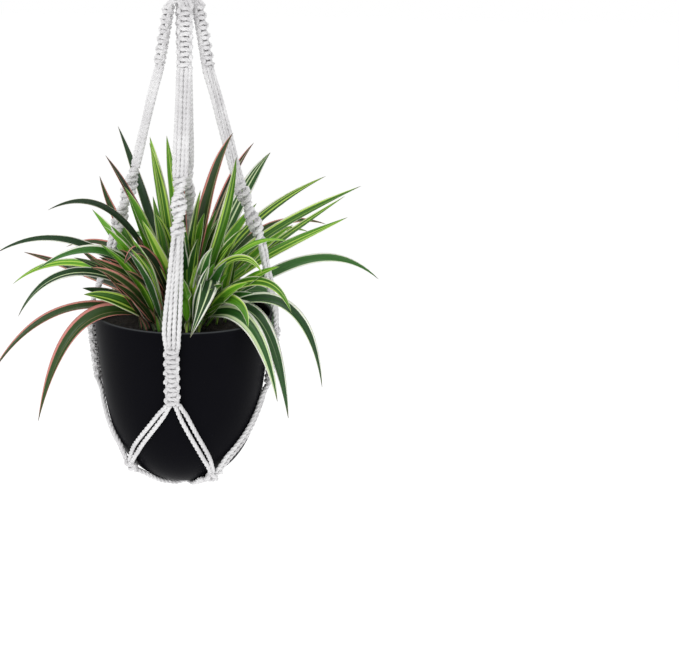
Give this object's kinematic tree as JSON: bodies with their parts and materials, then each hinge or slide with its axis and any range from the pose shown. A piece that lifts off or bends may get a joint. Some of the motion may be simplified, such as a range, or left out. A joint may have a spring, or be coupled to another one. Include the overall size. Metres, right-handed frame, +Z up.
{
  "type": "hanging macrame planter",
  "caption": "Macrame cord hanger on a metal ring, its knotted arms carrying a rounded black pot with a variegated leafy plant.",
  "frame": {"origin": "the hook's seat: the inside of the ring's top, on the planter's hanging axis", "axes": "+Z up along the hanging axis; the ring's hole faces along Y; +X to the right of a viewer who looks along +Y"},
  "size_m": [0.4109, 0.2648, 0.6045],
  "materials": {
    "ring": "polished",
    "cord": "matte",
    "wrap_cord": "matte",
    "pot": "satin",
    "soil": "matte",
    "leaf_green": "satin",
    "leaf_striped": "satin",
    "leaf_pink": "satin"
  },
  "bodies": {
    "ring": {"ring": "ring"},
    "hanger": {"cord_loops": "cord", "gathering_wrap": "wrap_cord", "upper_sinnet_front": "cord", "upper_cords_front": "cord", "spiral_front": "cord", "lower_cords_front": "cord", "lower_sinnet_front": "cord", "upper_sinnet_right": "cord", "upper_cords_right": "cord", "spiral_right": "cord", "lower_cords_right": "cord", "lower_sinnet_right": "cord", "upper_sinnet_back": "cord", "upper_cords_back": "cord", "spiral_back": "cord", "lower_cords_back": "cord", "lower_sinnet_back": "cord", "upper_sinnet_left": "cord", "upper_cords_left": "cord", "spiral_left": "cord", "lower_cords_left": "cord", "lower_sinnet_left": "cord", "cradle_front_to_right": "cord", "cradle_right_to_front": "cord", "lower_knot_front_right": "cord", "cradle_right_to_back": "cord", "cradle_back_to_right": "cord", "lower_knot_right_back": "cord", "cradle_back_to_left": "cord", "cradle_left_to_back": "cord", "lower_knot_back_left": "cord", "cradle_left_to_front": "cord", "cradle_front_to_left": "cord", "lower_knot_left_front": "cord", "base_cords_upper": "cord", "base_cords_lower": "cord"},
    "potted_plant": {"pot": "pot", "soil": "soil", "crown": "leaf_green", "drooping_leaves_front_right": "leaf_striped", "drooping_leaves_back_right": "leaf_striped", "drooping_leaves_back_left": "leaf_pink", "drooping_leaves_front_left": "leaf_pink", "arching_leaves_front_right": "leaf_green", "arching_leaves_back_right": "leaf_striped", "arching_leaves_back_left": "leaf_pink", "arching_leaves_front_left": "leaf_pink", "upright_leaves_front_right": "leaf_green", "upright_leaves_back_right": "leaf_striped", "upright_leaves_back_left": "leaf_pink", "upright_leaves_front_left": "leaf_pink"}
  },
  "joints": [
    {"name": "ring_swing", "type": "hinge", "parent": "ring", "child": "hanger", "pos_m": [0, 0, -0.03325], "axis": [1, 0, 0], "range_deg": [-60, 60]},
    {"name": "pot_turn", "type": "hinge", "parent": "hanger", "child": "potted_plant", "pos_m": [0, 0, -0.409], "axis": [0, 0, 1], "range_deg": [-6, 6]}
  ]
}
